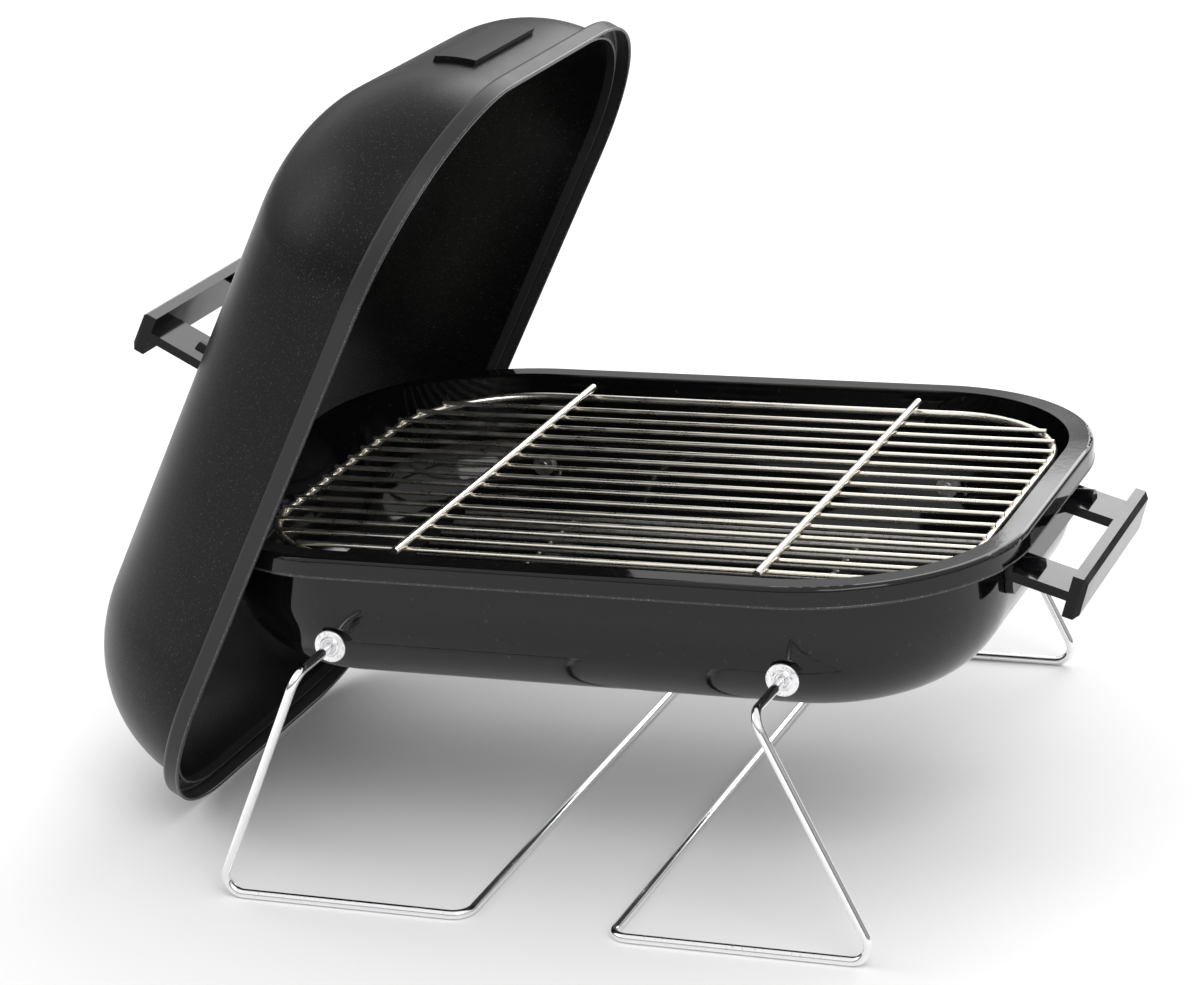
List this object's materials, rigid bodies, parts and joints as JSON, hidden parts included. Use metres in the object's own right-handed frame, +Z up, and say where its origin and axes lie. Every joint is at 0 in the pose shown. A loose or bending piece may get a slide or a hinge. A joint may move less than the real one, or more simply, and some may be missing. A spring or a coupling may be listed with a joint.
{
  "type": "folding camp grill",
  "caption": "Folding charcoal camp grill: black enamelled bowl on folding chrome wire legs, wire cooking grate, and a deep lid hung over the left end of the bowl.",
  "frame": {"origin": "bottom centre of the whole object's box, on the ground", "axes": "+X to the right towards the bowl's handle, +Y to the back, +Z up"},
  "size_m": [0.5328, 0.3958, 0.3998],
  "materials": {
    "enamel_bowl": "gloss porcelain enamel",
    "enamel_lid": "satin speckled porcelain enamel",
    "chrome_wire": "bright chrome plated wire",
    "zinc": "bright zinc plated",
    "steel_coal": "dull plated steel",
    "handle_plastic": "moulded phenolic, satin to gloss",
    "damper_enamel": "gloss enamel"
  },
  "bodies": {
    "bowl": {"bowl_shell": "enamel_bowl", "grate_rests": "enamel_bowl", "pivot_bushings": "zinc", "bowl_handle": "handle_plastic", "bowl_handle_screws": "zinc", "bowl_handle_washers": "zinc", "bowl_damper_rivet": "zinc"},
    "left_leg": {"left_leg": "chrome_wire", "left_leg_retainers": "zinc"},
    "right_leg": {"right_leg": "chrome_wire", "right_leg_retainers": "zinc"},
    "lid": {"lid_shell": "enamel_lid", "lid_handle": "handle_plastic", "lid_handle_screws": "zinc", "lid_handle_washers": "zinc", "lid_damper_rivet": "zinc"},
    "lid_damper": {"lid_damper": "damper_enamel"},
    "bowl_damper": {"bowl_damper": "damper_enamel"},
    "cooking_grate": {"cooking_grate_outline": "chrome_wire", "cooking_grate_rods": "chrome_wire", "cooking_grate_bars": "chrome_wire"},
    "charcoal_grate": {"charcoal_grate_strips": "steel_coal", "charcoal_grate_rods": "steel_coal"}
  },
  "joints": [
    {"name": "left_leg_fold", "type": "hinge", "parent": "bowl", "child": "left_leg", "pos_m": [-0.10001, 0, 0.124], "axis": [0, 1, 0], "range_deg": [0, 70]},
    {"name": "right_leg_fold", "type": "hinge", "parent": "bowl", "child": "right_leg", "pos_m": [0.13799, 0, 0.124], "axis": [0, -1, 0], "range_deg": [0, 230]},
    {"name": "lid_lift_off", "type": "slide", "parent": "bowl", "child": "lid", "axis": [-0.8846, 0, 0.4664], "range_m": [0, 0.25]},
    {"name": "lid_damper_turn", "type": "hinge", "parent": "lid", "child": "lid_damper", "pos_m": [-0.24595, 0, 0.14648], "axis": [-0.8846, 0, 0.4664], "range_deg": [0, 60]},
    {"name": "bowl_damper_turn", "type": "hinge", "parent": "bowl", "child": "bowl_damper", "pos_m": [0.01899, 0, 0.095], "axis": [0, 0, -1], "range_deg": [0, 60]},
    {"name": "cooking_grate_lift", "type": "slide", "parent": "bowl", "child": "cooking_grate", "axis": [0, 0, 1], "range_m": [0, 0.1]},
    {"name": "charcoal_grate_lift", "type": "slide", "parent": "bowl", "child": "charcoal_grate", "axis": [0, 0, 1], "range_m": [0, 0.04]}
  ]
}
